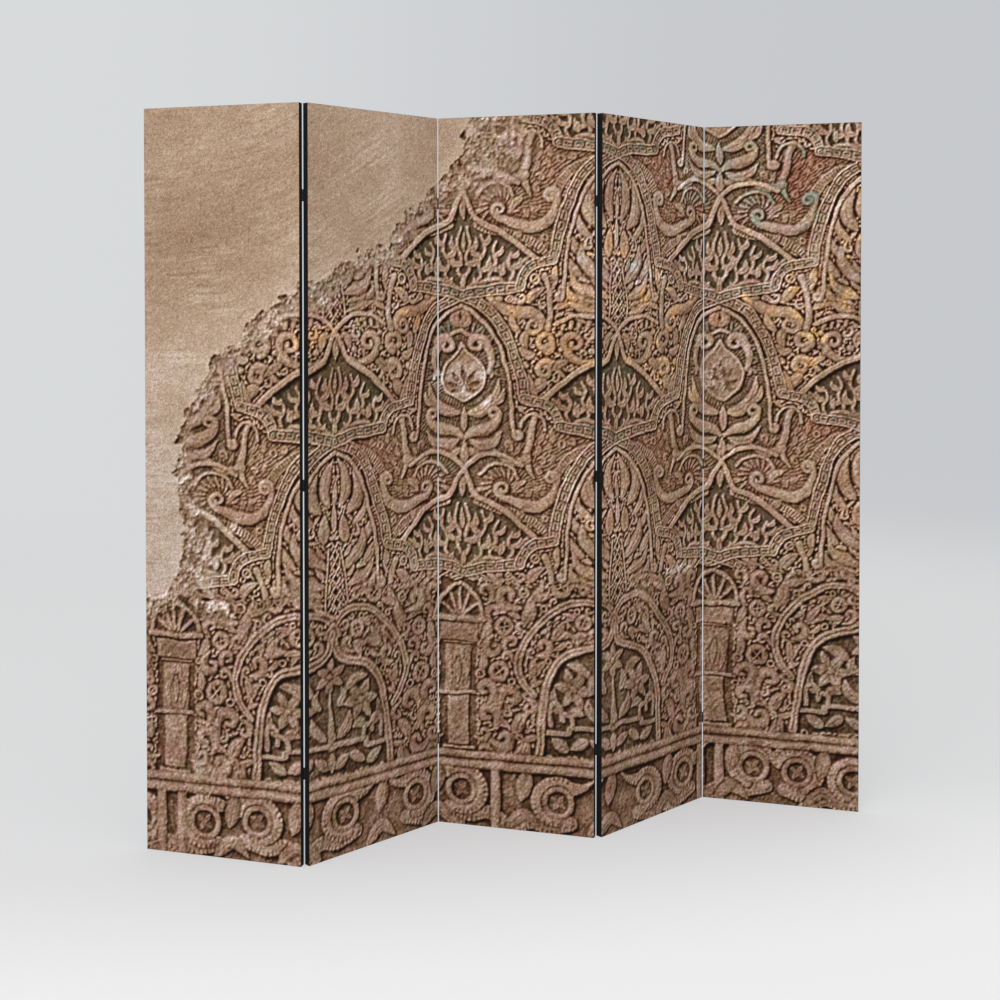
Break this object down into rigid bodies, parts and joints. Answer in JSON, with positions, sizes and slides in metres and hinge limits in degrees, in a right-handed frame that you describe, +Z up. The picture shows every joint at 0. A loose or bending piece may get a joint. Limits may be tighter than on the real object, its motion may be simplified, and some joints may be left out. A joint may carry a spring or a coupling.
{
  "type": "folding screen",
  "caption": "Zigzag folding screen of equal tall leaves: printed canvas stretched over timber frames, black cloth behind, joined edge to edge by small butt hinges.",
  "frame": {"origin": "on the floor, under the middle of the third leaf and of the whole screen", "axes": "+X along the screen to the viewer's right, +Y from the printed front to the cloth back, +Z up"},
  "size_m": [1.609, 0.1933, 1.6],
  "materials": {
    "pine": "planed, bare",
    "plywood": "bare",
    "printed_canvas": "matt printed weave, black at the edges",
    "black_cloth": "matt",
    "black_screw": "black zinc",
    "black_steel": "satin black lacquer",
    "pin_steel": "bright drawn"
  },
  "bodies": {
    "leaf_1": {"leaf_1_left_stile": "pine", "leaf_1_right_stile": "pine", "leaf_1_top_rail": "pine", "leaf_1_bottom_rail": "pine", "leaf_1_cross_rails": "pine", "leaf_1_joint_tongues": "plywood", "leaf_1_printed_canvas": "printed_canvas", "leaf_1_back_cloth": "black_cloth", "leaf_1_hinge_screws": "black_screw", "seam_1_hinge_flaps_a": "black_steel", "seam_1_hinge_pins": "pin_steel"},
    "leaf_2": {"leaf_2_left_stile": "pine", "leaf_2_right_stile": "pine", "leaf_2_top_rail": "pine", "leaf_2_bottom_rail": "pine", "leaf_2_cross_rails": "pine", "leaf_2_joint_tongues": "plywood", "leaf_2_printed_canvas": "printed_canvas", "leaf_2_back_cloth": "black_cloth", "leaf_2_hinge_screws": "black_screw", "seam_1_hinge_flaps_b": "black_steel", "seam_2_hinge_flaps_a": "black_steel", "seam_2_hinge_pins": "pin_steel"},
    "leaf_3": {"leaf_3_left_stile": "pine", "leaf_3_right_stile": "pine", "leaf_3_top_rail": "pine", "leaf_3_bottom_rail": "pine", "leaf_3_cross_rails": "pine", "leaf_3_joint_tongues": "plywood", "leaf_3_printed_canvas": "printed_canvas", "leaf_3_back_cloth": "black_cloth", "leaf_3_hinge_screws": "black_screw", "seam_2_hinge_flaps_b": "black_steel", "seam_3_hinge_flaps_a": "black_steel", "seam_3_hinge_pins": "pin_steel"},
    "leaf_4": {"leaf_4_left_stile": "pine", "leaf_4_right_stile": "pine", "leaf_4_top_rail": "pine", "leaf_4_bottom_rail": "pine", "leaf_4_cross_rails": "pine", "leaf_4_joint_tongues": "plywood", "leaf_4_printed_canvas": "printed_canvas", "leaf_4_back_cloth": "black_cloth", "leaf_4_hinge_screws": "black_screw", "seam_3_hinge_flaps_b": "black_steel", "seam_4_hinge_flaps_a": "black_steel", "seam_4_hinge_pins": "pin_steel"},
    "leaf_5": {"leaf_5_left_stile": "pine", "leaf_5_right_stile": "pine", "leaf_5_top_rail": "pine", "leaf_5_bottom_rail": "pine", "leaf_5_cross_rails": "pine", "leaf_5_joint_tongues": "plywood", "leaf_5_printed_canvas": "printed_canvas", "leaf_5_back_cloth": "black_cloth", "leaf_5_hinge_screws": "black_screw", "seam_4_hinge_flaps_b": "black_steel"}
  },
  "joints": [
    {"name": "seam_2", "type": "hinge", "parent": "leaf_3", "child": "leaf_2", "pos_m": [-0.16122, 0.08326, 0], "axis": [0, 0, 1], "range_deg": [-60, 120]},
    {"name": "seam_1", "type": "hinge", "parent": "leaf_2", "child": "leaf_1", "pos_m": [-0.48365, -0.08326, 0], "axis": [0, 0, -1], "range_deg": [-60, 120]},
    {"name": "seam_3", "type": "hinge", "parent": "leaf_3", "child": "leaf_4", "pos_m": [0.16122, -0.08326, 0], "axis": [0, 0, 1], "range_deg": [-60, 120]},
    {"name": "seam_4", "type": "hinge", "parent": "leaf_4", "child": "leaf_5", "pos_m": [0.48365, 0.08326, 0], "axis": [0, 0, -1], "range_deg": [-60, 120]}
  ],
  "couplings": [
    {"joint": "seam_3", "follows": "seam_2", "ratio": 1}
  ]
}
